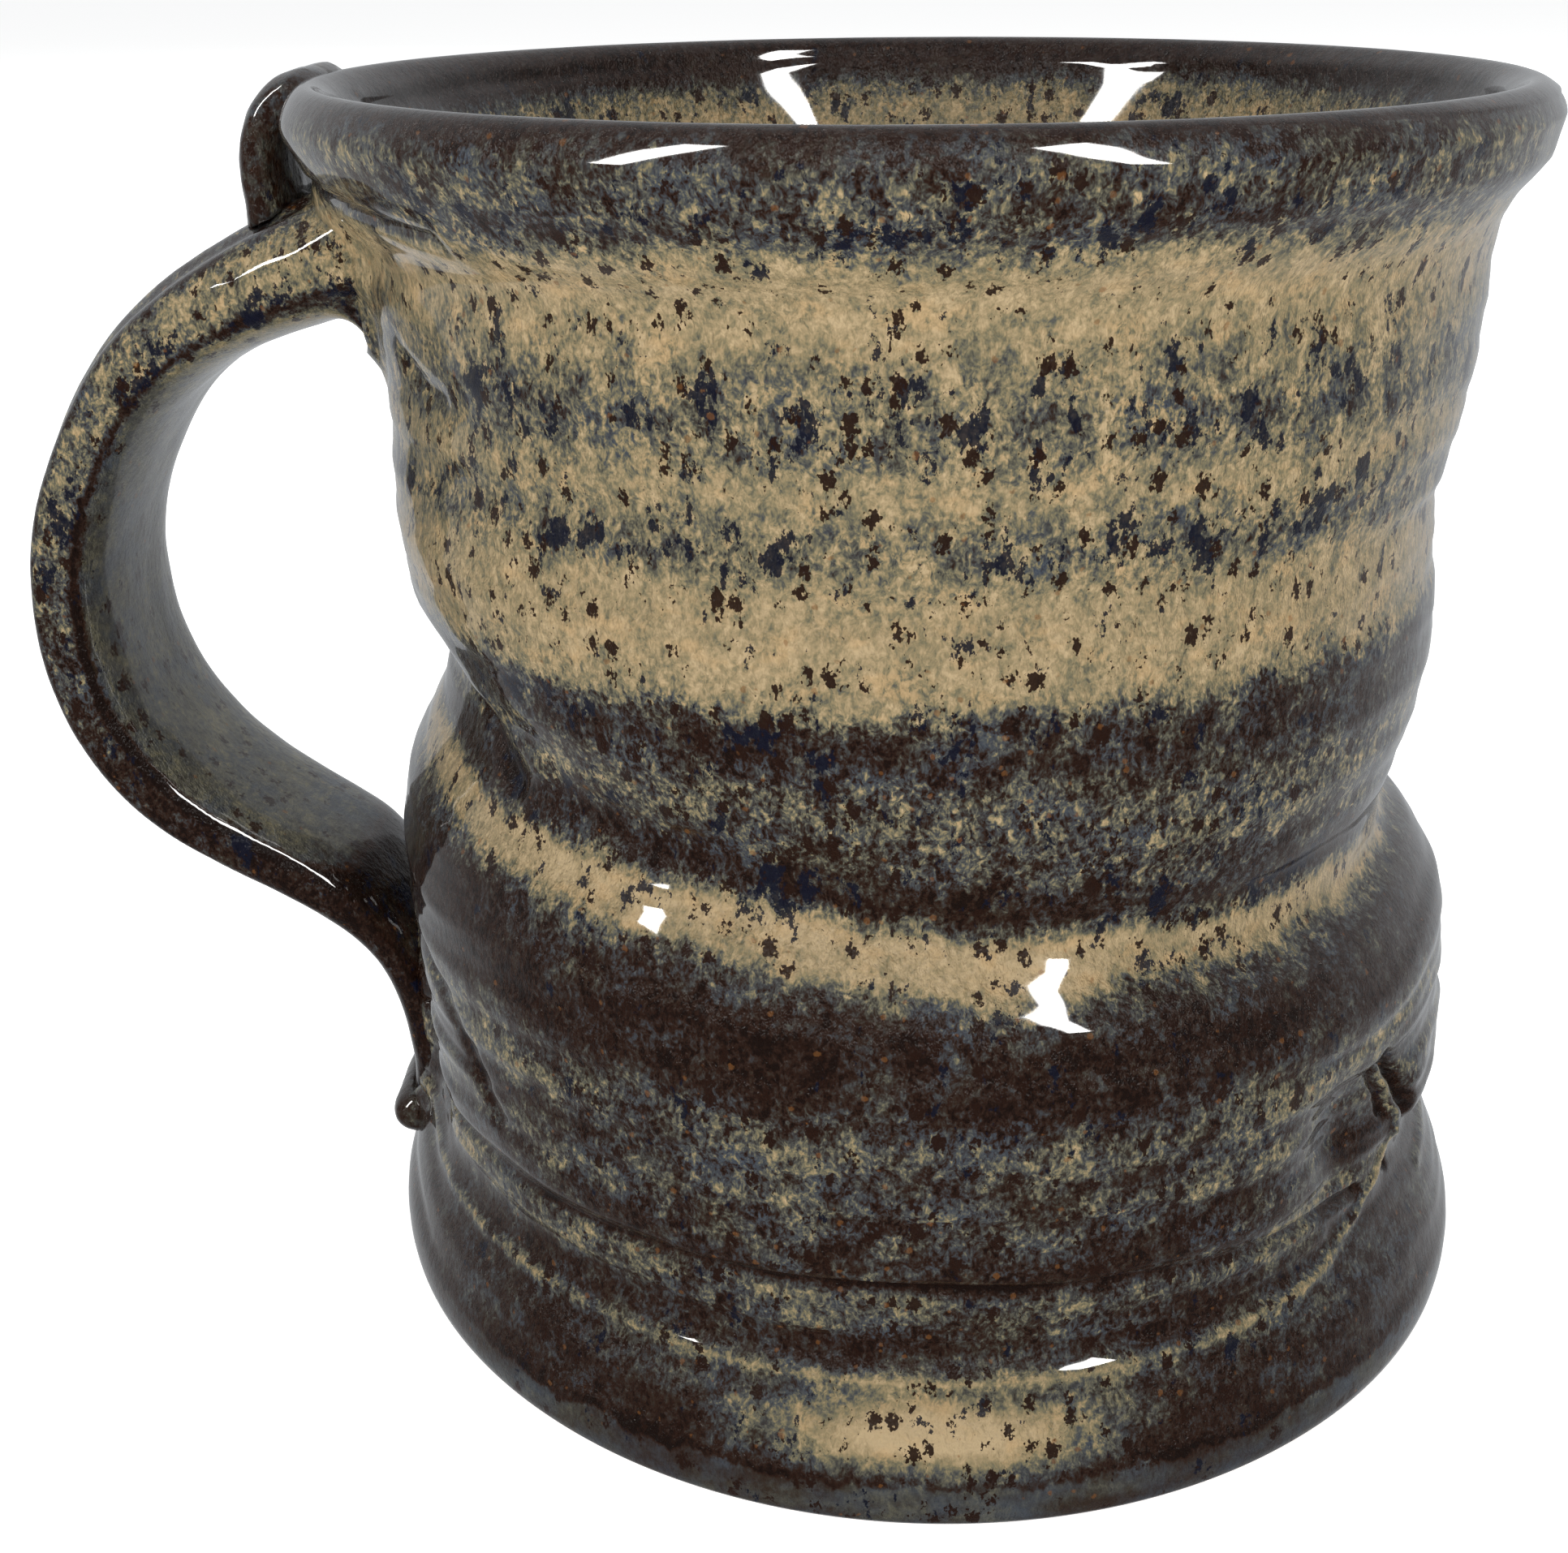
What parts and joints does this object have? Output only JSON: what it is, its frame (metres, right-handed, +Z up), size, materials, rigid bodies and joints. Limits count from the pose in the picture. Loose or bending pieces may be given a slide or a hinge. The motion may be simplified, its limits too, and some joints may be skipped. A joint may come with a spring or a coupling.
{
  "type": "ceramic mug",
  "caption": "Hand-thrown glazed stoneware mug with a buckled waist, flared foot and lip, and a pulled strap handle with a curled thumb rest and scrolled tail.",
  "frame": {"origin": "centre of the foot, on the surface that the mug stands on", "axes": "+Z up through the mouth, -X towards the handle, -Y the front seen with the handle on the left"},
  "size_m": [0.1193, 0.0936, 0.0961],
  "materials": {
    "glazed_stoneware": "glossy speckled cream and blue-brown glaze"
  },
  "bodies": {
    "root": {"thrown_body": "glazed_stoneware", "pulled_handle": "glazed_stoneware", "thumb_rest": "glazed_stoneware", "tail_scroll": "glazed_stoneware", "upper_joint_coil": "glazed_stoneware", "lower_joint_coil": "glazed_stoneware"}
  },
  "joints": []
}
